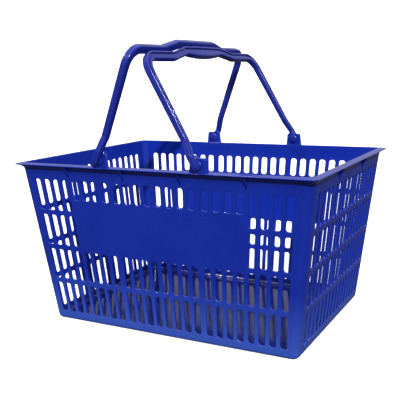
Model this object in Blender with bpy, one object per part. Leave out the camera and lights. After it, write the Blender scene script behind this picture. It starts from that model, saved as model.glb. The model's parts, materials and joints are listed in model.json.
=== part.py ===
"""Hand shopping basket: one moulded body and two swinging carrying handles.

Sizes are in metres. The origin is the middle of the base, +Z is up, and +X runs
along the basket. Each handle turns about a line along Y through the four lugs
that stand on the rim.
"""

import math

import bmesh
import bpy
from mathutils import Matrix, Vector

# Basket body
RIM_LENGTH = 0.430
RIM_WIDTH = 0.322
BODY_HEIGHT = 0.225
FLOOR_LENGTH = 0.362
FLOOR_WIDTH = 0.259
WALL_THICKNESS = 0.0025
FLOOR_THICKNESS = 0.0030
CORNER_RADIUS_AT_FLOOR = 0.009
CORNER_RADIUS_AT_TOP = 0.012
CORNER_STEPS = 5
BOTTOM_EDGE_RADIUS = 0.005
FLOOR_FILLET = 0.004

# Rim: the wall flares through a cove to a thin lip, stiffened by gussets below it
RIM_OVERHANG = 0.0080
RIM_CORNER_RADIUS = 0.009
LIP_HEIGHT = 0.0026
COVE_HEIGHT = 0.0080
COVE_STEPS = 3
EDGE_BREAK = 0.0006
WALL_TOP = BODY_HEIGHT - LIP_HEIGHT - COVE_HEIGHT
GUSSET_THICKNESS = 0.0016
GUSSET_DEPTH = 0.0185
GUSSET_INSET = 0.0012
GUSSETS_ON_LONG_WALLS = (0.041, 0.128)
GUSSETS_ON_SHORT_WALLS = (0.052,)

# Slots, all measured at the top of the first row
SLOT_ROWS = 4
SLOT_TOP = 0.2034
ROW_PITCH = 0.0493
ROW_BAR = 0.0066
SLOT_WIDTH = 0.0096
SLOT_FAN = 0.88
LONG_WALL_PITCH = 0.0155
LONG_WALL_GROUPS = 3
COLUMNS_PER_GROUP = 8
GROUP_BAR_EXTRA = 0.0032
SHORT_WALL_PITCH = 0.0166
SHORT_WALL_COLUMNS = 16
PANEL_FIRST_COLUMN = 4
PANEL_LAST_COLUMN = 19
SLOT_BOTTOM_OVER_PANEL = 0.1769

# Lugs
PIVOT_X = 0.070
PIVOT_ABOVE_RIM = 0.0085
PIVOT_Z = BODY_HEIGHT + PIVOT_ABOVE_RIM
LUG_WIDTH = 0.0215
LUG_HEIGHT = 0.0168
LUG_ROOT = 0.0015
LUG_FOOT_FLARE = 0.0022
LUG_CORNER_RADIUS = 0.003
LUG_NUB_OFFSET = 0.0044
LUG_NUB_RADIUS = 0.0032
LUG_INNER_Y = 0.1555
LUG_OUTER_Y = 0.1600
BORE_RADIUS = 0.0053

# Handles, in the plane of the bail: (half width, height above the pivot, bend radius)
BAIL_POINTS = (
    (0.1657, 0.000, 0.0),
    (0.1660, 0.013, 0.012),
    (0.1595, 0.032, 0.012),
    (0.1575, 0.144, 0.020),
    (0.084, 0.144, 0.010),
    (0.049, 0.152, 0.010),
)
BEND_STEPS = 3
GRIP_HALF_LENGTH = 0.049
GRIP_STEPS = 6
GRIP_SWELL = 0.0040
GRIP_THICKENING = 0.15
# Section: (towards the outside of the bail, towards the face that folds down)
SECTION_REACH = 0.0049
BAIL_SECTION = (
    (SECTION_REACH, -0.0026), (SECTION_REACH, 0.0033), (0.0042, 0.0042), (0.0030, 0.0042),
    (0.0026, 0.0022), (0.0010, 0.0022), (0.0006, 0.0042), (-0.0032, 0.0042),
    (-SECTION_REACH, 0.0026), (-SECTION_REACH, -0.0026), (-0.0032, -0.0044), (0.0030, -0.0044),
)
PIN_RADIUS = 0.0049
PIN_HEAD_RADIUS = 0.0066
PIN_HEAD_THICKNESS = 0.0030
PIN_HEAD_DOME = ((1.0, 0.55), (0.7, 0.9), (0.2, 1.0))
HUB_RADIUS = 0.0066
HUB_EDGE_RADIUS = 0.0028
HUB_INNER_Y = 0.1604
HUB_OUTER_Y = 0.1712
FIT_GAP = 0.0004
ROUND_STEPS = 16
SHARP_ANGLE = math.radians(35)
LEAN_LEFT = math.radians(20.7)
LEAN_RIGHT = math.radians(29.4)

BLUE = (0.022, 0.045, 0.330, 1.0)
BLUE_HANDLE = (0.026, 0.050, 0.300, 1.0)


def clear_scene():
    for item in list(bpy.data.objects):
        bpy.data.objects.remove(item, do_unlink=True)


def plastic(name, colour, roughness):
    material = bpy.data.materials.new(name)
    material.use_nodes = True
    shader = material.node_tree.nodes["Principled BSDF"]
    shader.inputs["Base Color"].default_value = colour
    shader.inputs["Roughness"].default_value = roughness
    shader.inputs["Metallic"].default_value = 0.0
    material.diffuse_color = colour
    return material


def object_from(name, mesh_builder, material=None):
    """Finish a bmesh, put it in a new object and link it to the scene."""
    bmesh.ops.recalc_face_normals(mesh_builder, faces=mesh_builder.faces)
    mesh = bpy.data.meshes.new(name)
    mesh_builder.to_mesh(mesh)
    mesh_builder.free()
    mesh.shade_smooth()
    mesh.set_sharp_from_angle(angle=SHARP_ANGLE)
    item = bpy.data.objects.new(name, mesh)
    bpy.context.scene.collection.objects.link(item)
    if material is not None:
        mesh.materials.append(material)
    return item


def as_tool(item):
    item.hide_render = True
    item.display_type = "WIRE"
    return item


def boolean(target, tool, operation):
    modifier = target.modifiers.new(tool.name, "BOOLEAN")
    modifier.operation = operation
    modifier.solver = "EXACT"
    modifier.object = tool


def loft(builder, rings):
    """Skin equal rings of points and cap both ends."""
    rows = [[builder.verts.new(point) for point in ring] for ring in rings]
    for lower, upper in zip(rows, rows[1:]):
        for index, corner in enumerate(lower):
            following = (index + 1) % len(lower)
            builder.faces.new((corner, lower[following], upper[following], upper[index]))
    builder.faces.new(list(reversed(rows[0])))
    builder.faces.new(rows[-1])


def prism(builder, outline, offset):
    """Extrude a closed outline of points by one offset."""
    loft(builder, [outline, [point + offset for point in outline]])


def arc(centre_a, centre_b, radius, start, end, steps):
    """Points on a circle arc as pairs, from the start angle to the end angle."""
    angles = [start + (end - start) * step / steps for step in range(steps + 1)]
    return [(centre_a + radius * math.cos(angle), centre_b + radius * math.sin(angle)) for angle in angles]


# ---------------------------------------------------------------- basket body

def growth(z):
    """How far up the tapered wall a height is, from 0 at the floor to 1."""
    return min(max(z, 0.0), WALL_TOP) / WALL_TOP


def wall_half_length(z):
    top = RIM_LENGTH / 2 - RIM_OVERHANG
    return FLOOR_LENGTH / 2 + growth(z) * (top - FLOOR_LENGTH / 2)


def wall_half_width(z):
    top = RIM_WIDTH / 2 - RIM_OVERHANG
    return FLOOR_WIDTH / 2 + growth(z) * (top - FLOOR_WIDTH / 2)


def corner_radius(z):
    return CORNER_RADIUS_AT_FLOOR + growth(z) * (CORNER_RADIUS_AT_TOP - CORNER_RADIUS_AT_FLOOR)


def tub_ring(offset, z, radius):
    """One level of the tub: a rounded rectangle, offset outwards from the wall's outer face."""
    half_x = wall_half_length(z) + offset
    half_y = wall_half_width(z) + offset
    ring = []
    for quarter, (side_x, side_y) in enumerate(((1, 1), (-1, 1), (-1, -1), (1, -1))):
        start = quarter * math.pi / 2
        corner = arc(
            side_x * (half_x - radius), side_y * (half_y - radius), radius,
            start, start + math.pi / 2, CORNER_STEPS,
        )
        ring += [Vector((x, y, z)) for x, y in corner]
    return ring


def tub_levels():
    """The (offset, height, corner radius) levels of the tub, up the outside and down the inside."""
    levels = []
    for step in range(3):
        angle = step * math.pi / 4
        offset = -BOTTOM_EDGE_RADIUS * (1 - math.sin(angle))
        levels.append((offset, BOTTOM_EDGE_RADIUS * (1 - math.cos(angle)), CORNER_RADIUS_AT_FLOOR + offset))
    for step in range(COVE_STEPS + 1):
        angle = step * math.pi / 2 / COVE_STEPS
        reach = 1 - math.cos(angle)
        levels.append((
            RIM_OVERHANG * reach,
            WALL_TOP + COVE_HEIGHT * math.sin(angle),
            CORNER_RADIUS_AT_TOP + reach * (RIM_CORNER_RADIUS - CORNER_RADIUS_AT_TOP),
        ))
    levels += [
        (RIM_OVERHANG, BODY_HEIGHT - EDGE_BREAK, RIM_CORNER_RADIUS),
        (RIM_OVERHANG - EDGE_BREAK, BODY_HEIGHT, RIM_CORNER_RADIUS - EDGE_BREAK),
    ]
    inside = [
        (-WALL_THICKNESS + 2 * EDGE_BREAK, BODY_HEIGHT),
        (-WALL_THICKNESS, BODY_HEIGHT - 2 * EDGE_BREAK),
        (-WALL_THICKNESS, WALL_TOP),
    ]
    for step in range(3):
        angle = step * math.pi / 4
        inside.append((
            -WALL_THICKNESS - FLOOR_FILLET * (1 - math.cos(angle)),
            FLOOR_THICKNESS + FLOOR_FILLET * (1 - math.sin(angle)),
        ))
    return levels + [(offset, z, corner_radius(z) + offset) for offset, z in inside]


def column_centres(pitch, columns, group_size, group_extra):
    """Column middles across a wall, with a wider bar after each group."""
    places = [column * pitch + column // group_size * group_extra for column in range(columns)]
    middle = places[-1] / 2
    return [place - middle for place in places]


def row_heights():
    """The (bottom, top) heights of each row of slots, top row first."""
    rows = []
    for row in range(SLOT_ROWS):
        top = SLOT_TOP - row * ROW_PITCH
        rows.append((top - ROW_PITCH + ROW_BAR, top))
    return rows


def slot_tool(builder, centre, bottom, top, half_size, reach, along_x):
    """A box that cuts one slot through two facing walls, leaning with the wall's taper."""
    outline = []
    for z, side in ((bottom, -1), (bottom, 1), (top, 1), (top, -1)):
        spread = 1 + SLOT_FAN * (half_size(z) / half_size(SLOT_TOP) - 1)
        across = (centre + side * SLOT_WIDTH / 2) * spread
        outline.append(Vector((across, -reach, z)) if along_x else Vector((-reach, across, z)))
    shift = Vector((0, 2 * reach, 0)) if along_x else Vector((2 * reach, 0, 0))
    prism(builder, outline, shift)


def long_wall_slots():
    builder = bmesh.new()
    columns = LONG_WALL_GROUPS * COLUMNS_PER_GROUP
    centres = column_centres(LONG_WALL_PITCH, columns, COLUMNS_PER_GROUP, GROUP_BAR_EXTRA)
    for row, (bottom, top) in enumerate(row_heights()):
        for column, centre in enumerate(centres):
            over_panel = PANEL_FIRST_COLUMN <= column <= PANEL_LAST_COLUMN
            if over_panel and row == 1:
                continue
            low = SLOT_BOTTOM_OVER_PANEL if over_panel and row == 0 else bottom
            slot_tool(builder, centre, low, top, wall_half_length, RIM_WIDTH, True)
    return as_tool(object_from("long_wall_slots", builder))


def short_wall_slots():
    builder = bmesh.new()
    centres = column_centres(SHORT_WALL_PITCH, SHORT_WALL_COLUMNS, SHORT_WALL_COLUMNS, 0.0)
    for bottom, top in row_heights():
        for centre in centres:
            slot_tool(builder, centre, bottom, top, wall_half_width, RIM_LENGTH, False)
    return as_tool(object_from("short_wall_slots", builder))


def lug_outline(side):
    """The lug seen along its bore, as (x, z): flared sides, rounded corners and a nub towards mid-basket."""
    half = LUG_WIDTH / 2
    foot = half + LUG_FOOT_FLARE
    low = BODY_HEIGHT - LUG_ROOT
    top = BODY_HEIGHT + LUG_HEIGHT
    radius = LUG_CORNER_RADIUS
    outline = [(foot, low), (foot, BODY_HEIGHT + EDGE_BREAK)]
    outline += arc(half - radius, top - radius, radius, 0.0, math.pi / 2, 3)
    outline += arc(LUG_NUB_OFFSET, top, LUG_NUB_RADIUS, 0.0, math.pi, 6)
    outline += arc(radius - half, top - radius, radius, math.pi / 2, math.pi, 3)
    outline += [(-foot, BODY_HEIGHT + EDGE_BREAK), (-foot, low)]
    return [(-side * x, z) for x, z in outline]


def lugs_and_gussets():
    builder = bmesh.new()
    for side_x in (-1, 1):
        for side_y in (-1, 1):
            inner = side_y * LUG_INNER_Y
            outline = [Vector((side_x * PIVOT_X + x, inner, z)) for x, z in lug_outline(side_x)]
            prism(builder, outline, Vector((0, side_y * LUG_OUTER_Y - inner, 0)))
    lip_bottom = BODY_HEIGHT - LIP_HEIGHT
    low = lip_bottom - GUSSET_DEPTH
    half = GUSSET_THICKNESS / 2
    for side in (-1, 1):
        for offset in [sign * place for place in GUSSETS_ON_LONG_WALLS for sign in (-1, 1)]:
            reach = RIM_WIDTH / 2 - GUSSET_INSET
            root = wall_half_width(low) - WALL_THICKNESS / 2
            profile = ((reach, lip_bottom + EDGE_BREAK), (root, low), (root, lip_bottom + EDGE_BREAK))
            outline = [Vector((offset - half, side * y, z)) for y, z in profile]
            prism(builder, outline, Vector((GUSSET_THICKNESS, 0, 0)))
        for offset in [sign * place for place in GUSSETS_ON_SHORT_WALLS for sign in (-1, 1)]:
            reach = RIM_LENGTH / 2 - GUSSET_INSET
            root = wall_half_length(low) - WALL_THICKNESS / 2
            profile = ((reach, lip_bottom + EDGE_BREAK), (root, low), (root, lip_bottom + EDGE_BREAK))
            outline = [Vector((side * x, offset - half, z)) for x, z in profile]
            prism(builder, outline, Vector((0, GUSSET_THICKNESS, 0)))
    return as_tool(object_from("lugs_and_gussets", builder))


def pin_bores():
    builder = bmesh.new()
    for side_x in (-1, 1):
        circle = arc(side_x * PIVOT_X, PIVOT_Z, BORE_RADIUS, 0.0, 2 * math.pi, ROUND_STEPS)[:-1]
        outline = [Vector((x, -RIM_WIDTH, z)) for x, z in circle]
        prism(builder, outline, Vector((0, 2 * RIM_WIDTH, 0)))
    return as_tool(object_from("pin_bores", builder))


def basket_body(material):
    builder = bmesh.new()
    loft(builder, [tub_ring(*level) for level in tub_levels()])
    body = object_from("basket_body", builder, material)
    boolean(body, long_wall_slots(), "DIFFERENCE")
    boolean(body, short_wall_slots(), "DIFFERENCE")
    boolean(body, lugs_and_gussets(), "UNION")
    boolean(body, pin_bores(), "DIFFERENCE")
    return body


# ------------------------------------------------------------------- handles

def rounded_path(points):
    """A polyline of (u, h) points whose bends are arcs of the given radii."""
    path = []
    for index, (u, h, radius) in enumerate(points):
        here = Vector((u, h))
        if radius == 0.0 or index in (0, len(points) - 1):
            path.append(here)
            continue
        back = (Vector(points[index - 1][:2]) - here).normalized()
        ahead = (Vector(points[index + 1][:2]) - here).normalized()
        half_angle = back.angle(ahead) / 2
        centre = here + (back + ahead).normalized() * radius / math.sin(half_angle)
        start = here + back * radius / math.tan(half_angle) - centre
        turn = (ahead * radius / math.tan(half_angle) + here - centre).angle_signed(start)
        for step in range(BEND_STEPS + 1):
            path.append(centre + Matrix.Rotation(turn * step / BEND_STEPS, 2) @ start)
    return path


def bail_path():
    """The whole bail's centre line, from one pin over the grip to the other."""
    half = list(BAIL_POINTS)
    mirrored = [(-u, h, radius) for u, h, radius in reversed(half)]
    path = rounded_path(half + mirrored)
    middle = len(path) // 2
    first = path[middle - 1]
    last = path[middle]
    grip = [first.lerp(last, step / GRIP_STEPS) for step in range(1, GRIP_STEPS)]
    return path[:middle] + grip + path[middle:]


def bail_rings():
    path = bail_path()
    rings = []
    for index, here in enumerate(path):
        before = path[max(index - 1, 0)]
        after = path[min(index + 1, len(path) - 1)]
        incoming = (here - before) if index else (after - here)
        outgoing = (after - here) if index < len(path) - 1 else incoming
        tangent = (incoming.normalized() + outgoing.normalized()).normalized()
        outward = Vector((tangent.y, -tangent.x))
        mitre = 1.0 / math.cos(incoming.angle(outgoing) / 2)
        crown = max(0.0, 1.0 - (here.x / GRIP_HALF_LENGTH) ** 2)
        ring = []
        for out, face in BAIL_SECTION:
            if out < 0:
                out *= 1.0 + crown * GRIP_SWELL / SECTION_REACH
            out *= mitre
            face *= 1.0 + crown * GRIP_THICKENING
            place = here + outward * out
            ring.append(Vector((-face, place.x, place.y)))
        rings.append(ring)
    return rings


def lathe(builder, profile, side):
    """Turn (y, radius) points about the Y axis; both ends close on flat discs."""
    rings = []
    for y, radius in profile:
        circle = arc(0.0, 0.0, radius, 0.0, 2 * math.pi, ROUND_STEPS)[:-1]
        rings.append([Vector((x, side * y, z)) for x, z in circle])
    loft(builder, rings)


def hubs_and_pins(name):
    """The round foot of each leg, with the pin that passes through the lug and its snap head."""
    head_start = LUG_INNER_Y - FIT_GAP
    profile = [
        (head_start - PIN_HEAD_THICKNESS * height, PIN_HEAD_RADIUS * width)
        for height, width in PIN_HEAD_DOME
    ]
    profile += [
        (head_start, PIN_HEAD_RADIUS - EDGE_BREAK),
        (head_start + EDGE_BREAK, PIN_RADIUS),
        (HUB_INNER_Y, PIN_RADIUS),
        (HUB_INNER_Y + EDGE_BREAK / 3, HUB_RADIUS - EDGE_BREAK),
        (HUB_INNER_Y + EDGE_BREAK, HUB_RADIUS),
    ]
    edge = HUB_EDGE_RADIUS
    profile += arc(HUB_OUTER_Y - edge, HUB_RADIUS - edge, edge, math.pi / 2, 0.0, 3)
    builder = bmesh.new()
    for side in (-1, 1):
        lathe(builder, profile, side)
    return as_tool(object_from(name, builder))


def handle(name, placement, material):
    """One bail, with its origin on its own hinge line."""
    builder = bmesh.new()
    loft(builder, bail_rings())
    bail = object_from(name, builder, material)
    pins = hubs_and_pins(name + "_pins")
    boolean(bail, pins, "UNION")
    bail.matrix_world = placement
    pins.matrix_world = placement
    return bail


def handles(material):
    left_pivot = Matrix.Translation((-PIVOT_X, 0, PIVOT_Z))
    right_pivot = Matrix.Translation((PIVOT_X, 0, PIVOT_Z))
    handle("handle_left", left_pivot @ Matrix.Rotation(LEAN_LEFT, 4, "Y"), material)
    turned = Matrix.Rotation(-LEAN_RIGHT, 4, "Y") @ Matrix.Rotation(math.pi, 4, "Z")
    handle("handle_right", right_pivot @ turned, material)


def main():
    clear_scene()
    basket_body(plastic("blue_polypropylene", BLUE, 0.30))
    handles(plastic("blue_polypropylene_handle", BLUE_HANDLE, 0.28))


main()
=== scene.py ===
"""Looks of the blue hand shopping basket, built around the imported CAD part.

The basket's shell and the two handles are rebuilt as fine meshes over the same
dimensions as the CAD nodes, so that every slot, rim edge and bend is rounded.
Sizes are in metres in the shared frame: origin at the middle of the base, +Z up.
"""

import json
import math

import bmesh
import bpy
from mathutils import Matrix, Vector
from mathutils.geometry import delaunay_2d_cdt


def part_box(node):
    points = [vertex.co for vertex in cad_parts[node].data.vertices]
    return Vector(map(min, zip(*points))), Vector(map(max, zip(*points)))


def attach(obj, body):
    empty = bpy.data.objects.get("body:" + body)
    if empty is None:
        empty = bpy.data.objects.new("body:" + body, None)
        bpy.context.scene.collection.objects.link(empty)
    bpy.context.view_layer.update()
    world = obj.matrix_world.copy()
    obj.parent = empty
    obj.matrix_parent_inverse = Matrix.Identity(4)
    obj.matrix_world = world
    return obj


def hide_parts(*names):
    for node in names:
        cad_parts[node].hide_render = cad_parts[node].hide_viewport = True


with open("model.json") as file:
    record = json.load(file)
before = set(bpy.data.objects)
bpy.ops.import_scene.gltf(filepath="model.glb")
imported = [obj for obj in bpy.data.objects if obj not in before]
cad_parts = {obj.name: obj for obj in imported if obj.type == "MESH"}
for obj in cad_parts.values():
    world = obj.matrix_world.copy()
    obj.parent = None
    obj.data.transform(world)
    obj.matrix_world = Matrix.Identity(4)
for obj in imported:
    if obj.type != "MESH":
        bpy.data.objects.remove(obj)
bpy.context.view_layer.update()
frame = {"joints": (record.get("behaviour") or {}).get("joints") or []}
BODY_LOW, BODY_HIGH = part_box("basket_body")
JOINTS = {joint["name"]: joint for joint in frame["joints"]}

# Basket body
RIM_LENGTH = BODY_HIGH.x - BODY_LOW.x
RIM_WIDTH = BODY_HIGH.y - BODY_LOW.y
LUG_HEIGHT = 0.0168
LUG_NUB_RADIUS = 0.0032
BODY_HEIGHT = BODY_HIGH.z - LUG_HEIGHT - LUG_NUB_RADIUS
FLOOR_LENGTH = 0.362
FLOOR_WIDTH = 0.259
WALL_THICKNESS = 0.0025
FLOOR_THICKNESS = 0.0030
CORNER_RADIUS_AT_FLOOR = 0.009
CORNER_RADIUS_AT_TOP = 0.012
CORNER_STEPS = 10
BOTTOM_EDGE_RADIUS = 0.005
FLOOR_FILLET = 0.004
ROUNDING_STEPS = 5

# Rim
RIM_OVERHANG = 0.0080
RIM_CORNER_RADIUS = 0.009
LIP_HEIGHT = 0.0026
RIM_SLOPE_DROP = 0.0011
LIP_EDGE_RADIUS = 0.0009
LIP_UNDER_RADIUS = 0.0005
LIP_UNDER_STEPS = 2
MOUTH_EDGE_RADIUS = 0.0012
RIM_EDGE_STEPS = 4
COVE_HEIGHT = 0.0080
COVE_STEPS = 8
LIP_BOTTOM = BODY_HEIGHT - LIP_HEIGHT
WALL_TOP = LIP_BOTTOM - COVE_HEIGHT
GUSSET_THICKNESS = 0.0016
GUSSET_DEPTH = 0.0185
GUSSET_INSET = 0.0012
GUSSET_BEVEL = 0.0003
GUSSETS_ON_LONG_WALLS = (0.041, 0.128)
GUSSETS_ON_SHORT_WALLS = (0.052,)

# Slots; widths and pitches are those at the top of the first row, and shrink with the walls'
# taper. SLOT_FAN is the share of the taper that they follow. Columns are counted from 0.
SLOT_ROWS = 4
SLOT_TOP = 0.2034
ROW_PITCH = 0.0493
ROW_BAR = 0.0066
SLOT_WIDTH = 0.0096
SLOT_FAN = 0.88
LONG_WALL_PITCH = 0.0155
LONG_WALL_GROUPS = 3
COLUMNS_PER_GROUP = 8
GROUP_BAR_EXTRA = 0.0032
SHORT_WALL_PITCH = 0.0166
SHORT_WALL_COLUMNS = 16
PANEL_FIRST_COLUMN = 4
PANEL_LAST_COLUMN = 19
SLOT_BOTTOM_OVER_PANEL = 0.1769
SLOT_CORNER_SHARE = 0.38
SLOT_CORNER_STEPS = 5
SLOT_EDGE_OUTSIDE = 0.0007
SLOT_EDGE_INSIDE = 0.0005
SLOT_EDGE_STEPS = 3

# Moulding gate in the middle of the underside: (radius, depth)
GATE_MARK = (
    (0.0062, 0.0),
    (0.0058, 0.0002),
    (0.0056, 0.0007),
    (0.0016, 0.0007),
    (0.0012, 0.0003),
    (0.0003, 0.0002),
)
GATE_STEPS = 32

# Lugs; the cuts are angles left off the ends of the rounded corners and of the nub
PIVOT_X = 0.070
PIVOT_Z = JOINTS["left_handle_hinge"]["pos_m"][2]
LUG_WIDTH = 0.0208
LUG_ROOT = 0.0022
LUG_FOOT_FLARE = 0.0012
LUG_FOOT_EDGE = 0.0004
LUG_FOOT_RISE = 0.0006
LUG_CORNER_RADIUS = 0.003
LUG_CORNER_CUT = 0.2
LUG_CORNER_STEPS = 6
LUG_NUB_OFFSET = 0.0044
LUG_NUB_FLARE = 0.0007
LUG_NUB_CUT = 0.35
LUG_NUB_STEPS = 12
LUG_INNER_Y = 0.1555
LUG_OUTER_Y = 0.1600
LUG_EDGE = 0.0007
LUG_EDGE_STEPS = 3
BORE_RADIUS = 0.0053
BORE_LIP = 0.0004

# Handles, in the plane of the bail: (half width, height above the pivot, bend radius)
BAIL_POINTS = (
    (0.1657, 0.000, 0.0),
    (0.1660, 0.013, 0.012),
    (0.1595, 0.032, 0.012),
    (0.1575, 0.144, 0.022),
    (0.084, 0.144, 0.022),
    (0.049, 0.152, 0.022),
)
BEND_STEPS = 8
LEG_TAPER = (0.0, 0.11)
LEG_GIRTH_LOW = 0.84
LEG_GIRTH_HIGH = 1.03
TOP_BAR_BLEND = (0.122, 0.142)
TOP_BAR_RISE = 0.0012
GRIP_HALF_LENGTH = 0.049
GRIP_STEPS = 28
GRIP_SWELL = 0.0040
GRIP_THICKENING = 0.15
SECTION_REACH = 0.0049
# Section corners: (towards the outside, towards the face that folds down, corner radius, steps)
BAIL_SECTION = (
    (SECTION_REACH, -0.0044, 0.0020, 5),
    (SECTION_REACH, 0.0042, 0.0011, 4),
    (0.0030, 0.0042, 0.0003, 2),
    (0.0026, 0.0018, 0.0004, 2),
    (0.0006, 0.0018, 0.0004, 2),
    (0.0002, 0.0042, 0.0003, 2),
    (-SECTION_REACH, 0.0042, 0.0018, 5),
    (-SECTION_REACH, -0.0044, 0.0020, 5),
)
# Cross ribs on the legs: (half width, rise above the face) from root to crest
TOOTH_PROFILE = ((0.00060, -0.0005), (0.00050, 0.00025), (0.00028, 0.00042))
TOOTH_COUNT = 26
TOOTH_START = 0.070
TOOTH_PITCH = 0.0022
TOOTH_FACE = 0.0042
TOOTH_INNER = -0.0036
TOOTH_OUTER = 0.0000
PIN_RADIUS = 0.0049
PIN_HEAD_RADIUS = 0.0066
PIN_HEAD_THICKNESS = 0.0030
PIN_HEAD_TIP = 0.25
PIN_HEAD_STEPS = 8
BEARING_RADIUS = 0.0056
BEARING_START_Y = 0.1604
BEARING_END_Y = 0.1640
LEG_END_LENGTH = 0.0062
LEG_END_STEPS = 7
LEG_END_TIP = 0.4
FIT_GAP = 0.0004
EDGE_BREAK = 0.0006
FINE_EDGE_BREAK = EDGE_BREAK / 3
ROUND_STEPS = 40
LEAN_LEFT = math.radians(20.7)
LEAN_RIGHT = math.radians(29.4)

# Meshes
MERGE_DISTANCE = 2e-6
FILL_TOLERANCE = 1e-7
FILL_INSIDE = 1  # the fill's output type that keeps only triangles inside the outlines
NORMAL_WEIGHT = 60

# Plastic: noises as (scale, detail), ranges as (low, high)
FLOW_NOISE = (14.0, 4.0)
FLOW_RANGE = (0.35, 0.65)
FLECK_NOISE = (420.0, 2.0)
FLECK_RANGE = (0.60, 0.78)
FLECK_SHARE = 0.35
SCRATCH_NOISE = (60.0, 3.0)
SCRATCH_STRETCH = (1.0, 1.0, 14.0)
SCRATCH_RANGE = (0.66, 0.74)
SCRATCH_ROUGHNESS = 0.10
CLOUD_NOISE = (35.0, 5.0)
CLOUD_RANGE = (0.3, 0.7)
PEEL_NOISE = (650.0, 2.0)
PEEL_DEPTH = 0.00010
PEEL_STRENGTH = 0.20
WAVE_NOISE = (55.0, 2.0)
WAVE_DEPTH = 0.0012
WAVE_STRENGTH = 0.07
PLASTIC_IOR = 1.49
# Painted sheen of floor light: paler plastic towards the foot, only where the surface faces away
# from the middle
FOOT_SHEEN_TOP = 0.085
FACING_OUT_RANGE = (0.06, 0.12)
# Painted shade on the inner floor and the foot of the inner walls: facing, and heights above the
# base
FACING_IN_RANGE = (0.02, 0.06)
INNER_SHADE_HEIGHTS = (0.008, 0.026)
UNDERSIDE_RANGE = (0.0010, 0.0020)

# Studio floor
FLOOR_GRAIN_NOISE = (30.0, 5.0)
FLOOR_GRAIN_RANGE = (0.3, 0.7)
FLOOR_DARK = (0.86, 0.86, 0.87, 1.0)
FLOOR_LIGHT = (0.89, 0.89, 0.895, 1.0)
FLOOR_BUMP_NOISE = (600.0, 2.0)
FLOOR_BUMP_DEPTH = 0.0002
FLOOR_BUMP_STRENGTH = 0.2
FLOOR_ROUGHNESS = 0.9
FLOOR_SPECULAR = 0.2

# Studio
WHITE = (1.0, 1.0, 1.0, 1.0)
FLOOR_LEVEL = -0.0002
FLOOR_CENTRE = 0.01
FLOOR_EXTENT = 2.5
SWEEP_RADIUS = 1.2
SWEEP_HEIGHT = 4.0
SWEEP_STEPS = 16
SWEEP_SIDES = 96
FLOOR_GLOW = 0.6
# Sky strengths, and the ranges of the light's direction over which they change
SKY_FRONT = 0.30
SKY_BACK = 0.45
SKY_SIDE_RANGE = (-0.35, 0.35)
SKY_BELOW = 0.09
SKY_HORIZON_RANGE = (-0.05, 0.05)
SKY_PANEL = 0.12
SKY_PANEL_RISE = (0.32, 0.36)
SKY_PANEL_FALL = (0.43, 0.50)
SKY_PANEL_BEHIND = (0.30, 0.60)
SKY_TOP = 0.5
SKY_TOP_RANGE = (0.45, 0.75)
LAMP_ANGLE = math.radians(1.6)
KEY_DIRECTION = (0.92, -1.20, 1.00)
KEY_POWER = 3.1
FILL_DIRECTION = (-0.43, -0.53, 0.73)
FILL_POWER = 0.9

# Camera
CAMERA_PLACE = (0.4379, -0.8342, 0.3388)
CAMERA_YAW = 0.4873
CAMERA_PITCH = 0.1849
CAMERA_ROLL = -0.0233
CAMERA_LENS = 60.3
CAMERA_SENSOR = 36.0
CAMERA_SHIFT = (-0.0158, -0.0055)


# ------------------------------------------------------------------ geometry

def arc(centre_a, centre_b, radius, start, end, steps):
    """Points on a circle arc as pairs, from the start angle to the end angle."""
    points = []
    for step in range(steps + 1):
        angle = start + (end - start) * step / steps
        points.append((centre_a + radius * math.cos(angle), centre_b + radius * math.sin(angle)))
    return points


def circle(radius, steps, height=0.0):
    """Points on a full circle around the middle, as pairs."""
    return arc(0.0, height, radius, 0.0, 2 * math.pi, steps)[:-1]


def skin(builder, rings, closed=True):
    """Join equal rings of points with quads, and return the rings' vertices."""
    rows = [[builder.verts.new(point) for point in ring] for ring in rings]
    count = len(rows[0])
    last = count if closed else count - 1
    for lower, upper in zip(rows, rows[1:]):
        for index in range(last):
            following = (index + 1) % count
            builder.faces.new((lower[index], lower[following], upper[following], upper[index]))
    return rows


def cap(builder, rows):
    """Close both ends of a skin; return the two faces."""
    return [builder.faces.new(rows[0]), builder.faces.new(rows[-1])]


def anticlockwise(outline):
    """The outline, turned round if it runs clockwise."""
    following = outline[1:] + outline[:1]
    area = sum(a[0] * b[1] - b[0] * a[1] for a, b in zip(outline, following))
    return outline if area > 0 else outline[::-1]


def sheet(builder, boundary, holes, place):
    """Fill a flat outline around its holes; place() turns a flat point into a point in space."""
    points = []
    loops = []
    for outline in [anticlockwise(loop) for loop in [boundary] + holes]:
        loops.append(list(range(len(points), len(points) + len(outline))))
        points += [Vector(point[:2]) for point in outline]
    filled = delaunay_2d_cdt(points, [], loops, FILL_INSIDE, FILL_TOLERANCE)
    places, _, triangles, _, _, sources = filled
    corners = [builder.verts.new(place(point.x, point.y)) for point in places]
    # A triangle inside a hole belongs to the boundary's face and to the hole's
    for triangle, source in zip(triangles, sources):
        if len(source) == 1:
            builder.faces.new([corners[index] for index in triangle])


def rounded_corner(points, index, steps):
    """One corner of a row of (a, b, radius, ...) points, as arc centre, radius and directions."""
    here = Vector(points[index][:2])
    radius = points[index][2]
    back = (Vector(points[index - 1][:2]) - here).normalized()
    ahead = (Vector(points[(index + 1) % len(points)][:2]) - here).normalized()
    half_angle = back.angle(ahead) / 2
    centre = here + (back + ahead).normalized() * radius / math.sin(half_angle)
    start = (here + back * radius / math.tan(half_angle) - centre).normalized()
    end = (here + ahead * radius / math.tan(half_angle) - centre).normalized()
    turn = end.angle_signed(start)
    spread = [Matrix.Rotation(turn * step / steps, 2) @ start for step in range(steps + 1)]
    return centre, radius, spread


def grown(arcs, distance=0.0):
    """The outline of rounded corners, offset outwards by a distance."""
    outline = []
    for centre, radius, spread in arcs:
        outline += [centre + direction * (radius + distance) for direction in spread]
    return outline


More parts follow.
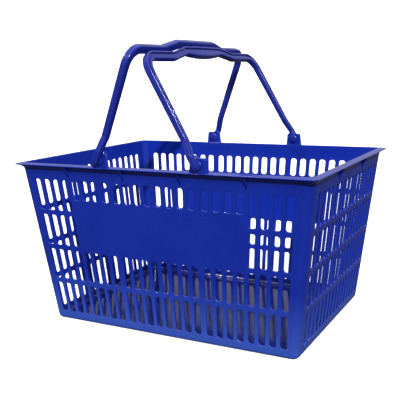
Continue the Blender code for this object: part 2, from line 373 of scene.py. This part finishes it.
def quarter(radius, steps):
    """(outward, depth) offsets of a rounded edge, from the face down to the hole's wall."""
    offsets = []
    for step in range(steps + 1):
        angle = step * math.pi / 2 / steps
        offsets.append((radius * (1 - math.sin(angle)), radius * (1 - math.cos(angle))))
    return offsets


def punched(builder, outer, inner, slots, thickness, place):
    """A flat wall with rounded holes; place(a, b, depth) is a point below its outer face."""
    outside = quarter(SLOT_EDGE_OUTSIDE, SLOT_EDGE_STEPS)
    inside = quarter(SLOT_EDGE_INSIDE, SLOT_EDGE_STEPS)
    for outline, edge, down in ((outer, outside, 0.0), (inner, inside, thickness)):
        holes = [grown(slot, edge[0][0]) for slot in slots]
        sheet(builder, outline, holes, lambda a, b: place(a, b, down))
    levels = outside + [(reach, thickness - depth) for reach, depth in reversed(inside)]
    for slot in slots:
        skin(builder, [
            [place(p.x, p.y, depth) for p in grown(slot, reach)] for reach, depth in levels
        ])


def mesh_object(name, builder, material, body):
    """A smooth-shaded piece that rides a body, made from the builder."""
    bmesh.ops.remove_doubles(builder, verts=builder.verts, dist=MERGE_DISTANCE)
    bmesh.ops.recalc_face_normals(builder, faces=builder.faces)
    mesh = bpy.data.meshes.new(name)
    builder.to_mesh(mesh)
    builder.free()
    mesh.shade_smooth()
    item = bpy.data.objects.new(name, mesh)
    bpy.context.scene.collection.objects.link(item)
    mesh.materials.append(material)
    smoothing = item.modifiers.new("face_normals", "WEIGHTED_NORMAL")
    smoothing.mode = "FACE_AREA_WITH_ANGLE"
    smoothing.weight = NORMAL_WEIGHT
    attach(item, body)
    return item


# ---------------------------------------------------------------- basket body

def share_between(value, low, high):
    """How far a value lies between two limits, from 0 to 1."""
    return min(max((value - low) / (high - low), 0.0), 1.0)


def tapered(z, at_floor, at_top):
    """A size of the tub at a height, on the straight taper from the floor to the walls' top."""
    return at_floor + share_between(z, 0.0, WALL_TOP) * (at_top - at_floor)


def wall_half_length(z):
    return tapered(z, FLOOR_LENGTH / 2, RIM_LENGTH / 2 - RIM_OVERHANG)


def wall_half_width(z):
    return tapered(z, FLOOR_WIDTH / 2, RIM_WIDTH / 2 - RIM_OVERHANG)


def corner_radius(z):
    return tapered(z, CORNER_RADIUS_AT_FLOOR, CORNER_RADIUS_AT_TOP)


def tub_ring(offset, z, radius):
    """A level rounded rectangle that follows the walls, as a ring with one arc per corner."""
    half_x = wall_half_length(z) + offset
    half_y = wall_half_width(z) + offset
    ring = []
    for index, (side_x, side_y) in enumerate(((1, 1), (-1, 1), (-1, -1), (1, -1))):
        start = index * math.pi / 2
        corner = arc(
            side_x * (half_x - radius), side_y * (half_y - radius), radius,
            start, start + math.pi / 2, CORNER_STEPS,
        )
        ring += [Vector((x, y, z)) for x, y in corner]
    return ring


def outer_levels():
    """Levels below the walls' flat faces: the rounded bottom edge."""
    levels = []
    for step in range(ROUNDING_STEPS + 1):
        angle = step * math.pi / 2 / ROUNDING_STEPS
        offset = -BOTTOM_EDGE_RADIUS * (1 - math.sin(angle))
        z = BOTTOM_EDGE_RADIUS * (1 - math.cos(angle))
        levels.append((offset, z, CORNER_RADIUS_AT_FLOOR + offset))
    return levels


def rim_levels():
    """Levels of the cove, the lip and the mouth's rounded edge."""
    levels = []
    for step in range(COVE_STEPS + 1):
        angle = step * math.pi / 2 / COVE_STEPS
        reach = 1 - math.cos(angle)
        offset = min(RIM_OVERHANG * reach, RIM_OVERHANG - LIP_UNDER_RADIUS)
        radius = CORNER_RADIUS_AT_TOP + reach * (RIM_CORNER_RADIUS - CORNER_RADIUS_AT_TOP)
        levels.append((offset, WALL_TOP + COVE_HEIGHT * math.sin(angle), radius))
    under_edge = arc(
        -LIP_UNDER_RADIUS, LIP_BOTTOM + LIP_UNDER_RADIUS, LIP_UNDER_RADIUS,
        -math.pi / 2, 0.0, LIP_UNDER_STEPS,
    )[1:]
    upper_edge = arc(
        -LIP_EDGE_RADIUS, BODY_HEIGHT - RIM_SLOPE_DROP - LIP_EDGE_RADIUS, LIP_EDGE_RADIUS,
        0.0, math.pi / 2, RIM_EDGE_STEPS,
    )
    for reach, z in under_edge + upper_edge:
        levels.append((RIM_OVERHANG + reach, z, RIM_CORNER_RADIUS + reach))
    mouth_edge = arc(
        MOUTH_EDGE_RADIUS - WALL_THICKNESS, BODY_HEIGHT - MOUTH_EDGE_RADIUS, MOUTH_EDGE_RADIUS,
        math.pi / 2, math.pi, RIM_EDGE_STEPS,
    )
    for offset, z in mouth_edge:
        levels.append((offset, z, CORNER_RADIUS_AT_TOP + offset))
    levels.append((-WALL_THICKNESS, WALL_TOP, CORNER_RADIUS_AT_TOP - WALL_THICKNESS))
    return levels


def fillet_levels():
    """Levels of the fillet between the walls' inner faces and the floor."""
    levels = []
    for step in range(ROUNDING_STEPS + 1):
        angle = step * math.pi / 2 / ROUNDING_STEPS
        offset = -WALL_THICKNESS - FLOOR_FILLET * (1 - math.cos(angle))
        z = FLOOR_THICKNESS + FLOOR_FILLET * (1 - math.sin(angle))
        levels.append((offset, z, corner_radius(z) + offset))
    return levels


def column_centres(pitch, columns, group_size, group_extra):
    """Places of a row's slots across a wall, centred, with a wider bar between groups."""
    places = [column * pitch + column // group_size * group_extra for column in range(columns)]
    return [place - places[-1] / 2 for place in places]


def slot_rows():
    """The (bottom, top) heights of the rows of slots, from the rim down."""
    tops = [SLOT_TOP - row * ROW_PITCH for row in range(SLOT_ROWS)]
    return [(top - ROW_PITCH + ROW_BAR, top) for top in tops]


def wall_slot(centre, bottom, top, half_size):
    """One slot's rounded corners, leaning with the wall's taper, as (across, height)."""
    corners = []
    for z, side in ((bottom, -1), (bottom, 1), (top, 1), (top, -1)):
        spread = 1 + SLOT_FAN * (half_size(z) / half_size(SLOT_TOP) - 1)
        corners.append(((centre + side * SLOT_WIDTH / 2) * spread, z))
    radius = (corners[1][0] - corners[0][0]) * SLOT_CORNER_SHARE
    corners = [(a, b, radius) for a, b in corners]
    return [rounded_corner(corners, index, SLOT_CORNER_STEPS) for index in range(4)]


def long_wall_slots():
    """The long walls' slots: none in the second row over the panel, and shorter ones above it."""
    columns = LONG_WALL_GROUPS * COLUMNS_PER_GROUP
    centres = column_centres(LONG_WALL_PITCH, columns, COLUMNS_PER_GROUP, GROUP_BAR_EXTRA)
    slots = []
    for row, (bottom, top) in enumerate(slot_rows()):
        for column, centre in enumerate(centres):
            over_panel = PANEL_FIRST_COLUMN <= column <= PANEL_LAST_COLUMN
            if over_panel and row == 1:
                continue
            low = SLOT_BOTTOM_OVER_PANEL if over_panel and row == 0 else bottom
            slots.append(wall_slot(centre, low, top, wall_half_length))
    return slots


def short_wall_slots():
    """The short walls' slots, in even rows."""
    centres = column_centres(SHORT_WALL_PITCH, SHORT_WALL_COLUMNS, SHORT_WALL_COLUMNS, 0.0)
    return [
        wall_slot(centre, bottom, top, wall_half_width)
        for bottom, top in slot_rows() for centre in centres
    ]


def shell(builder):
    """The tub: rounded corners and edges as rings, flat slotted walls between them, a floor."""
    low_outside = [tub_ring(*level) for level in outer_levels()]
    rim = [tub_ring(*level) for level in rim_levels()]
    low_inside = [tub_ring(*level) for level in fillet_levels()]
    skin(builder, low_outside)
    skin(builder, rim)
    skin(builder, low_inside)
    corner = CORNER_STEPS + 1
    for index in range(4):
        span = slice(index * corner, (index + 1) * corner)
        skin(builder, [low_outside[-1][span], rim[0][span]], closed=False)
        skin(builder, [rim[-1][span], low_inside[0][span]], closed=False)
    long_slots = long_wall_slots()
    short_slots = short_wall_slots()
    for index in range(4):
        first = (index + 1) * corner - 1
        second = (index + 1) * corner % (4 * corner)
        along_x = index % 2 == 0
        side = 1 if index in (0, 3) else -1
        outer = [low_outside[-1][first], low_outside[-1][second], rim[0][second], rim[0][first]]
        inner = [low_inside[0][first], low_inside[0][second], rim[-1][second], rim[-1][first]]
        if along_x:
            punched(
                builder, [(p.x, p.z) for p in outer], [(p.x, p.z) for p in inner],
                long_slots, WALL_THICKNESS,
                lambda a, b, depth: Vector((a, side * (wall_half_width(b) - depth), b)),
            )
        else:
            punched(
                builder, [(p.y, p.z) for p in outer], [(p.y, p.z) for p in inner],
                short_slots, WALL_THICKNESS,
                lambda a, b, depth: Vector((side * (wall_half_length(b) - depth), a, b)),
            )
    sheet(builder, low_inside[-1], [], lambda a, b: Vector((a, b, FLOOR_THICKNESS)))
    gate_edge = [Vector(point) for point in circle(GATE_MARK[0][0], GATE_STEPS)]
    sheet(builder, low_outside[0], [gate_edge], lambda a, b: Vector((a, b, 0.0)))
    gate = skin(builder, [
        [Vector((a, b, z)) for a, b in circle(radius, GATE_STEPS)] for radius, z in GATE_MARK
    ])
    builder.faces.new(gate[-1])


def lug_outline(side):
    """The lug seen along its bore, as (x, z): flared sides, rounded corners, an off-centre nub."""
    half = LUG_WIDTH / 2
    foot = half + LUG_FOOT_FLARE
    top = BODY_HEIGHT + LUG_HEIGHT
    radius = LUG_CORNER_RADIUS
    corner_end = math.pi / 2 - LUG_CORNER_CUT
    flank = [
        (foot + LUG_FOOT_EDGE, BODY_HEIGHT - LUG_ROOT),
        (foot + LUG_FOOT_EDGE, BODY_HEIGHT),
        (foot, BODY_HEIGHT + LUG_FOOT_RISE),
    ]
    flank += arc(half - radius, top - radius, radius, 0.0, corner_end, LUG_CORNER_STEPS)
    nub = arc(
        LUG_NUB_OFFSET, top, LUG_NUB_RADIUS, LUG_NUB_CUT, math.pi - LUG_NUB_CUT, LUG_NUB_STEPS,
    )
    nub = [(nub[0][0] + LUG_NUB_FLARE, top)] + nub + [(nub[-1][0] - LUG_NUB_FLARE, top)]
    outline = flank + nub + [(-x, z) for x, z in reversed(flank)]
    return anticlockwise([Vector((-side * x, z)) for x, z in outline])


def inset(outline, distance):
    """An anticlockwise outline, moved inwards by a distance."""
    moved = []
    for index, here in enumerate(outline):
        incoming = (here - outline[index - 1]).normalized()
        outgoing = (outline[(index + 1) % len(outline)] - here).normalized()
        normal = Vector((-incoming.y - outgoing.y, incoming.x + outgoing.x)).normalized()
        moved.append(here + normal * distance)
    return moved


def lugs(builder):
    """The four lugs on the rim, each with rounded edges and a bore with bevelled mouths."""
    bore, bore_lip = [
        [Vector(point) for point in circle(radius, ROUND_STEPS, PIVOT_Z)]
        for radius in (BORE_RADIUS, BORE_RADIUS + BORE_LIP)
    ]
    depth = LUG_OUTER_Y - LUG_INNER_Y
    edge = quarter(LUG_EDGE, LUG_EDGE_STEPS)
    rings = edge + [(away, depth - down) for away, down in reversed(edge)]
    for side_x in (-1, 1):
        outline = lug_outline(side_x)
        for side_y in (-1, 1):
            def place(a, b, down):
                return Vector((side_x * PIVOT_X + a, side_y * (LUG_OUTER_Y - down), b))
            skin(builder, [
                [place(p.x, p.y, down) for p in inset(outline, away)] for away, down in rings
            ])
            flat = inset(outline, LUG_EDGE)
            sheet(builder, flat, [bore_lip], lambda a, b: place(a, b, 0.0))
            sheet(builder, flat, [bore_lip], lambda a, b: place(a, b, depth))
            steps = ((bore_lip, 0.0), (bore, BORE_LIP), (bore, depth - BORE_LIP), (bore_lip, depth))
            skin(builder, [[place(p.x, p.y, down) for p in ring] for ring, down in steps])


def gussets(builder):
    """Thin triangular webs between the walls and the underside of the lip."""
    low = LIP_BOTTOM - GUSSET_DEPTH
    high = LIP_BOTTOM + EDGE_BREAK
    half = GUSSET_THICKNESS / 2
    made = []
    for side in (-1, 1):
        for places, rim_half, wall_half, along_x in (
            (GUSSETS_ON_LONG_WALLS, RIM_WIDTH / 2, wall_half_width, True),
            (GUSSETS_ON_SHORT_WALLS, RIM_LENGTH / 2, wall_half_length, False),
        ):
            reach = rim_half - GUSSET_INSET
            root = wall_half(low) - WALL_THICKNESS / 2
            profile = ((reach, high), (root, low), (root, high))
            for offset in [sign * place for place in places for sign in (-1, 1)]:
                rows = []
                for across in (offset - half, offset + half):
                    if along_x:
                        rows.append([Vector((across, side * out, z)) for out, z in profile])
                    else:
                        rows.append([Vector((side * out, across, z)) for out, z in profile])
                made += cap(builder, skin(builder, rows))
    edges = list(dict.fromkeys(edge for face in made for edge in face.edges))
    bmesh.ops.bevel(
        builder, geom=edges, offset=GUSSET_BEVEL, segments=2, profile=0.5, affect="EDGES",
    )


# ------------------------------------------------------------------- handles

def rounded_path(points):
    """A polyline of (u, h) points whose bends are arcs of the given radii."""
    bends = range(1, len(points) - 1)
    arcs = [rounded_corner(points, index, BEND_STEPS) for index in bends]
    return [Vector(points[0][:2])] + grown(arcs) + [Vector(points[-1][:2])]


def bail_path():
    """The bail's centre line from one leg's end to the other's, finely divided at the grip."""
    mirrored = tuple((-u, h, radius) for u, h, radius in reversed(BAIL_POINTS))
    path = rounded_path(BAIL_POINTS + mirrored)
    middle = len(path) // 2
    first = path[middle - 1]
    last = path[middle]
    grip = [first.lerp(last, step / GRIP_STEPS) for step in range(1, GRIP_STEPS)]
    return path[:middle] + grip + path[middle:]


def section_outline():
    """The bail's section as (out, face) points with rounded corners."""
    return grown([
        rounded_corner(BAIL_SECTION, index, corner[3])
        for index, corner in enumerate(BAIL_SECTION)
    ])


def girth(h):
    """The size of the bail at a height, as a share of the stated section."""
    return LEG_GIRTH_LOW + (LEG_GIRTH_HIGH - LEG_GIRTH_LOW) * share_between(h, *LEG_TAPER)


def leg_end(end, before, section):
    """Rings that round off a leg's end, from the leg outwards."""
    side = 1 if end.x > 0 else -1
    rings = []
    for step in range(1, LEG_END_STEPS + 1):
        angle = step / (LEG_END_STEPS + LEG_END_TIP) * math.pi / 2
        place = end + (end - before).normalized() * LEG_END_LENGTH * math.sin(angle)
        share = math.cos(angle) * LEG_GIRTH_LOW
        rings.append([
            Vector((-face * share, place.x + side * out * share, place.y))
            for out, face in section
        ])
    return rings


def bail(builder):
    """One bail, upright in its own plane, with the hinge line through the origin along Y."""
    path = bail_path()
    section = section_outline()
    rings = []
    for index, here in enumerate(path):
        before = path[max(index - 1, 0)]
        after = path[min(index + 1, len(path) - 1)]
        incoming = (here - before) if index else (after - here)
        outgoing = (after - here) if index < len(path) - 1 else incoming
        tangent = (incoming.normalized() + outgoing.normalized()).normalized()
        outward = Vector((tangent.y, -tangent.x))
        mitre = 1.0 / math.cos(incoming.angle(outgoing) / 2)
        crown = max(0.0, 1.0 - (here.x / GRIP_HALF_LENGTH) ** 2)
        taper = girth(here.y)
        rise = 1.0 + TOP_BAR_RISE / SECTION_REACH * share_between(here.y, *TOP_BAR_BLEND)
        ring = []
        for out, face in section:
            out *= taper * rise if out > 0 else 1.0 + crown * GRIP_SWELL / SECTION_REACH
            place = here + outward * out * mitre
            thickness = taper * (1.0 + crown * GRIP_THICKENING)
            ring.append(Vector((-face * thickness, place.x, place.y)))
        rings.append(ring)
    first_end = leg_end(path[0], path[1], section)[::-1]
    last_end = leg_end(path[-1], path[-2], section)
    cap(builder, skin(builder, first_end + rings + last_end))


def leg_teeth(builder):
    """Fine cross ribs moulded on the land beside each leg's groove."""
    (low_u, low_h), (high_u, high_h) = BAIL_POINTS[2][:2], BAIL_POINTS[3][:2]
    for side in (-1, 1):
        for step in range(TOOTH_COUNT):
            h = TOOTH_START + step * TOOTH_PITCH
            u = low_u + (h - low_h) / (high_h - low_h) * (high_u - low_u)
            rings = []
            for half, rise in TOOTH_PROFILE:
                inner = TOOTH_INNER + rise
                outer = TOOTH_OUTER - rise
                rings.append([
                    Vector((-(TOOTH_FACE + rise), side * (u + out), h + along))
                    for out, along in ((inner, -half), (outer, -half), (outer, half), (inner, half))
                ])
            cap(builder, skin(builder, rings))


def pins(builder):
    """The two snap pins and their bearings, turned about the hinge line along Y."""
    head_start = LUG_INNER_Y - FIT_GAP
    profile = []
    for step in range(1, PIN_HEAD_STEPS + 1):
        angle = step / PIN_HEAD_STEPS * math.pi / 2
        profile.append((
            head_start - PIN_HEAD_THICKNESS * math.cos(angle),
            PIN_HEAD_RADIUS * (PIN_HEAD_TIP + (1 - PIN_HEAD_TIP) * math.sin(angle)),
        ))
    profile += [
        (head_start + FINE_EDGE_BREAK, PIN_HEAD_RADIUS - EDGE_BREAK),
        (head_start + FINE_EDGE_BREAK, PIN_RADIUS),
        (BEARING_START_Y, PIN_RADIUS),
        (BEARING_START_Y + FINE_EDGE_BREAK, BEARING_RADIUS - EDGE_BREAK),
        (BEARING_START_Y + EDGE_BREAK, BEARING_RADIUS),
        (BEARING_END_Y, BEARING_RADIUS - 2 * EDGE_BREAK),
    ]
    for side in (-1, 1):
        cap(builder, skin(builder, [
            [Vector((x, side * y, z)) for x, z in circle(radius, ROUND_STEPS)]
            for y, radius in profile
        ]))


def handle(name, node, body, placement, material):
    """One handle as a piece: bail, cross ribs and pins, moved to its place at rest."""
    builder = bmesh.new()
    bail(builder)
    leg_teeth(builder)
    pins(builder)
    builder.transform(placement)
    item = mesh_object(name, builder, material, body)
    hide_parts(node)


# ----------------------------------------------------------------- materials

def new_material(name):
    """A new node material with its tree and its shader."""
    material = bpy.data.materials.new(name)
    material.use_nodes = True
    return material, material.node_tree, material.node_tree.nodes["Principled BSDF"]


def noise(tree, coordinates, scale_and_detail, stretch=None):
    source = coordinates
    if stretch is not None:
        mapping = tree.nodes.new("ShaderNodeMapping")
        mapping.inputs["Scale"].default_value = stretch
        tree.links.new(coordinates, mapping.inputs["Vector"])
        source = mapping.outputs["Vector"]
    made = tree.nodes.new("ShaderNodeTexNoise")
    made.inputs["Scale"].default_value, made.inputs["Detail"].default_value = scale_and_detail
    tree.links.new(source, made.inputs["Vector"])
    return made.outputs["Fac"]


def remap(tree, value, limits, to_low=0.0, to_high=1.0):
    """Turn a value's range between two limits into another range, held at both ends."""
    made = tree.nodes.new("ShaderNodeMapRange")
    made.clamp = True
    names = ("From Min", "From Max", "To Min", "To Max")
    for name, number in zip(names, (*limits, to_low, to_high)):
        made.inputs[name].default_value = number
    tree.links.new(value, made.inputs["Value"])
    return made.outputs["Result"]


def blend(tree, factor, first, second):
    """Mix two colours, each given as a value or as a socket."""
    made = tree.nodes.new("ShaderNodeMix")
    made.data_type = "RGBA"
    tree.links.new(factor, made.inputs["Factor"])
    # Sockets 6 and 7 are the colour inputs A and B, and output 2 is the colour result
    for socket, value in ((made.inputs[6], first), (made.inputs[7], second)):
        if isinstance(value, tuple):
            socket.default_value = value
        else:
            tree.links.new(value, socket)
    return made.outputs[2]


def math_node(tree, operation, first, second):
    made = tree.nodes.new("ShaderNodeMath")
    made.operation = operation
    tree.links.new(first, made.inputs[0])
    tree.links.new(second, made.inputs[1])
    return made.outputs[0]


def add(tree, first, second):
    return math_node(tree, "ADD", first, second)


def multiply(tree, first, second):
    return math_node(tree, "MULTIPLY", first, second)


def bump(tree, height, distance, strength, after=None):
    made = tree.nodes.new("ShaderNodeBump")
    made.inputs["Strength"].default_value = strength
    made.inputs["Distance"].default_value = distance
    tree.links.new(height, made.inputs["Height"])
    if after is not None:
        tree.links.new(after, made.inputs["Normal"])
    return made.outputs["Normal"]


def painted_light_near_floor(tree, places, tinted, foot, inner_shade_colour):
    """Paint a paler sheen of floor light on the outside towards the foot, and painted shade on the
    inner floor.
    """
    where = places.outputs["Object"]
    separated = tree.nodes.new("ShaderNodeSeparateXYZ")
    tree.links.new(where, separated.inputs[0])
    height = separated.outputs["Z"]
    # How far out the surface lies along its own normal: high outside, near zero or less inside
    product = tree.nodes.new("ShaderNodeVectorMath")
    product.operation = "DOT_PRODUCT"
    tree.links.new(where, product.inputs[0])
    tree.links.new(places.outputs["Normal"], product.inputs[1])
    facing = product.outputs["Value"]
    near_foot = remap(tree, height, (FOOT_SHEEN_TOP, 0.0))
    # Painted sheen: a paler colour where floor light would brighten the outside near the foot
    foot_sheen = multiply(tree, near_foot, remap(tree, facing, FACING_OUT_RANGE))
    facing_in = remap(tree, facing, FACING_IN_RANGE, 1.0, 0.0)
    # Painted shade: a darker colour on the inner floor and the foot of the inner walls
    lying = multiply(tree, facing_in, remap(tree, height, UNDERSIDE_RANGE))
    shade_share = multiply(tree, lying, remap(tree, height, INNER_SHADE_HEIGHTS, 1.0, 0.0))
    return blend(tree, shade_share, blend(tree, foot_sheen, tinted, foot), inner_shade_colour)


def moulded_plastic(name, colour, deep, worn, gloss, foot=None, inner_shade_colour=None):
    """Glossy moulded polypropylene: flow mottling, orange peel and scratches; where given, a
    painted sheen of floor light towards the foot and painted shade on the inner floor.
    """
    material, tree, shader = new_material(name)
    places = tree.nodes.new("ShaderNodeTexCoord")
    where = places.outputs["Object"]
    flow = remap(tree, noise(tree, where, FLOW_NOISE), FLOW_RANGE)
    tinted = blend(tree, flow, colour, deep)
    if foot is not None:
        tinted = painted_light_near_floor(tree, places, tinted, foot, inner_shade_colour)
    flecks = remap(tree, noise(tree, where, FLECK_NOISE), FLECK_RANGE, 0.0, FLECK_SHARE)
    tree.links.new(blend(tree, flecks, tinted, worn), shader.inputs["Base Color"])

    scratches = noise(tree, where, SCRATCH_NOISE, SCRATCH_STRETCH)
    scratches = remap(tree, scratches, SCRATCH_RANGE, 0.0, SCRATCH_ROUGHNESS)
    cloud = remap(tree, noise(tree, where, CLOUD_NOISE), CLOUD_RANGE, *gloss)
    tree.links.new(add(tree, cloud, scratches), shader.inputs["Roughness"])

    peel = bump(tree, noise(tree, where, PEEL_NOISE), PEEL_DEPTH, PEEL_STRENGTH)
    waves = bump(tree, noise(tree, where, WAVE_NOISE), WAVE_DEPTH, WAVE_STRENGTH, peel)
    tree.links.new(waves, shader.inputs["Normal"])
    shader.inputs["IOR"].default_value = PLASTIC_IOR
    return material


def floor_material():
    """Pale matt paper with a faint grain, bright enough to stay white under the soft light."""
    material, tree, shader = new_material("studio_floor")
    where = tree.nodes.new("ShaderNodeTexCoord").outputs["Object"]
    grain = remap(tree, noise(tree, where, FLOOR_GRAIN_NOISE), FLOOR_GRAIN_RANGE)
    tree.links.new(blend(tree, grain, FLOOR_DARK, FLOOR_LIGHT), shader.inputs["Base Color"])
    tooth = noise(tree, where, FLOOR_BUMP_NOISE)
    tooth = bump(tree, tooth, FLOOR_BUMP_DEPTH, FLOOR_BUMP_STRENGTH)
    tree.links.new(tooth, shader.inputs["Normal"])
    shader.inputs["Roughness"].default_value = FLOOR_ROUGHNESS
    shader.inputs["Specular IOR Level"].default_value = FLOOR_SPECULAR
    shader.inputs["Emission Color"].default_value = WHITE
    shader.inputs["Emission Strength"].default_value = FLOOR_GLOW
    return material


# --------------------------------------------------------------------- studio

def backdrop(material):
    """A pale round floor that sweeps up on every side, seen only by the camera."""
    builder = bmesh.new()
    profile = [(FLOOR_CENTRE, 0.0), (FLOOR_EXTENT / 2, 0.0), (FLOOR_EXTENT, 0.0)]
    profile += arc(FLOOR_EXTENT, SWEEP_RADIUS, SWEEP_RADIUS, -math.pi / 2, 0.0, SWEEP_STEPS)[1:]
    profile.append((FLOOR_EXTENT + SWEEP_RADIUS, SWEEP_HEIGHT))
    rows = skin(builder, [
        [Vector((a, b, z + FLOOR_LEVEL)) for a, b in circle(radius, SWEEP_SIDES)]
        for radius, z in profile
    ])
    builder.faces.new(rows[0])
    mesh = bpy.data.meshes.new("backdrop")
    builder.to_mesh(mesh)
    builder.free()
    mesh.shade_smooth()
    mesh.materials.append(material)
    item = bpy.data.objects.new("backdrop", mesh)
    bpy.context.scene.collection.objects.link(item)
    item.visible_diffuse = False
    item.visible_glossy = False
    item.visible_shadow = False


def sky():
    """Soft light: strong overhead, a faint panel behind, paler walls and a dim floor."""
    world = bpy.data.worlds.new("studio")
    world.use_nodes = True
    tree = world.node_tree
    direction = tree.nodes.new("ShaderNodeSeparateXYZ")
    tree.links.new(tree.nodes.new("ShaderNodeTexCoord").outputs["Generated"], direction.inputs[0])
    across, up = direction.outputs["Y"], direction.outputs["Z"]
    walls = remap(tree, across, SKY_SIDE_RANGE, SKY_FRONT, SKY_BACK)
    walls = multiply(tree, walls, remap(tree, up, SKY_HORIZON_RANGE))
    below = remap(tree, up, SKY_HORIZON_RANGE, SKY_BELOW, 0.0)
    panel = multiply(
        tree,
        remap(tree, up, SKY_PANEL_RISE, 0.0, SKY_PANEL),
        remap(tree, up, SKY_PANEL_FALL, 1.0, 0.0),
    )
    panel = multiply(tree, panel, remap(tree, across, SKY_PANEL_BEHIND))
    top = remap(tree, up, SKY_TOP_RANGE, 0.0, SKY_TOP)
    lit = add(tree, add(tree, walls, below), add(tree, panel, top))
    background = tree.nodes["Background"]
    tree.links.new(lit, background.inputs["Strength"])
    background.inputs["Color"].default_value = WHITE
    bpy.context.scene.world = world


def lamp(name, direction, power):
    """A small sun that shines from a direction."""
    light = bpy.data.lights.new(name, "SUN")
    light.energy = power
    light.angle = LAMP_ANGLE
    item = bpy.data.objects.new(name, light)
    bpy.context.scene.collection.objects.link(item)
    item.rotation_euler = (-Vector(direction)).to_track_quat("-Z", "Y").to_euler()


def camera():
    """A camera at the given place, turned by yaw, pitch and roll from looking along +Y."""
    forward = Vector((
        -math.sin(CAMERA_YAW) * math.cos(CAMERA_PITCH),
        math.cos(CAMERA_YAW) * math.cos(CAMERA_PITCH),
        -math.sin(CAMERA_PITCH),
    ))
    right = Vector((math.cos(CAMERA_YAW), math.sin(CAMERA_YAW), 0.0))
    up = right.cross(forward)
    turned_right = right * math.cos(CAMERA_ROLL) + up * math.sin(CAMERA_ROLL)
    turned_up = up * math.cos(CAMERA_ROLL) - right * math.sin(CAMERA_ROLL)
    lens = bpy.data.cameras.new("camera")
    lens.lens = CAMERA_LENS
    lens.sensor_width = CAMERA_SENSOR
    lens.shift_x, lens.shift_y = CAMERA_SHIFT
    item = bpy.data.objects.new("camera", lens)
    bpy.context.scene.collection.objects.link(item)
    matrix = Matrix((turned_right, turned_up, -forward)).transposed().to_4x4()
    matrix.translation = Vector(CAMERA_PLACE)
    item.matrix_world = matrix
    bpy.context.scene.camera = item


def main():
    blue = moulded_plastic(
        "blue_polypropylene",
        colour=(0.0072, 0.027, 0.345, 1.0),
        deep=(0.0058, 0.023, 0.32, 1.0),
        worn=(0.020, 0.050, 0.42, 1.0),
        gloss=(0.10, 0.16),
        # Paler colour painted towards the foot as a sheen of floor light
        foot=(0.040, 0.096, 0.50, 1.0),
        # Dark colour painted on the inner floor as shade
        inner_shade_colour=(0.0025, 0.009, 0.13, 1.0),
    )
    blue_handle = moulded_plastic(
        "blue_polypropylene_handle",
        colour=(0.012, 0.024, 0.28, 1.0),
        deep=(0.009, 0.020, 0.25, 1.0),
        worn=(0.030, 0.050, 0.36, 1.0),
        gloss=(0.12, 0.18),
    )
    builder = bmesh.new()
    shell(builder)
    lugs(builder)
    gussets(builder)
    body = mesh_object("basket_shell", builder, blue, "basket")
    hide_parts("basket_body")
    left = Matrix.Translation((-PIVOT_X, 0, PIVOT_Z)) @ Matrix.Rotation(LEAN_LEFT, 4, "Y")
    turned = Matrix.Rotation(-LEAN_RIGHT, 4, "Y") @ Matrix.Rotation(math.pi, 4, "Z")
    right = Matrix.Translation((PIVOT_X, 0, PIVOT_Z)) @ turned
    handle("bail_left", "handle_left", "left_bail", left, blue_handle)
    handle("bail_right", "handle_right", "right_bail", right, blue_handle)
    backdrop(floor_material())
    sky()
    lamp("key", KEY_DIRECTION, KEY_POWER)
    lamp("fill", FILL_DIRECTION, FILL_POWER)
    camera()
    bpy.context.scene.view_settings.view_transform = "Standard"


main()
